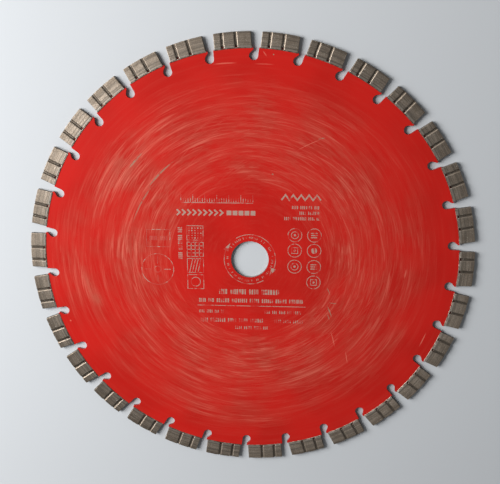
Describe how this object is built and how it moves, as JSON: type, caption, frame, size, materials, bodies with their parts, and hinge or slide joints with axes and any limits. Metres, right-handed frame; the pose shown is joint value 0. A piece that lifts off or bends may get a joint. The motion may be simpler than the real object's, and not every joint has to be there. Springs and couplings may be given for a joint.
{
  "type": "diamond cutting disc",
  "caption": "Flat segmented cutting disc: thin lacquered steel core with keyhole gullets, grooved diamond segments welded round its rim, and a plain central bore for the spindle.",
  "frame": {"origin": "centre of the bore, half-way through the thickness of the core", "axes": "+Z along the bore, out of the printed face; +X and +Y in the plane of the disc, +Y the upper side of the print; the disc lies flat"},
  "size_m": [0.3, 0.3, 0.0028],
  "materials": {
    "red_lacquer": "semi-gloss red lacquer on steel, scuffed in arcs round the bore",
    "sintered_metal": "matt grey-brown sintered metal, ground on both faces"
  },
  "bodies": {
    "root": {"steel_core": "red_lacquer", "segment_01": "sintered_metal", "segment_02": "sintered_metal", "segment_03": "sintered_metal", "segment_04": "sintered_metal", "segment_05": "sintered_metal", "segment_06": "sintered_metal", "segment_07": "sintered_metal", "segment_08": "sintered_metal", "segment_09": "sintered_metal", "segment_10": "sintered_metal", "segment_11": "sintered_metal", "segment_12": "sintered_metal", "segment_13": "sintered_metal", "segment_14": "sintered_metal", "segment_15": "sintered_metal", "segment_16": "sintered_metal", "segment_17": "sintered_metal", "segment_18": "sintered_metal", "segment_19": "sintered_metal", "segment_20": "sintered_metal", "segment_21": "sintered_metal", "segment_22": "sintered_metal", "segment_23": "sintered_metal", "segment_24": "sintered_metal", "segment_25": "sintered_metal", "segment_26": "sintered_metal", "segment_27": "sintered_metal", "segment_28": "sintered_metal", "segment_29": "sintered_metal", "segment_30": "sintered_metal"}
  },
  "joints": []
}
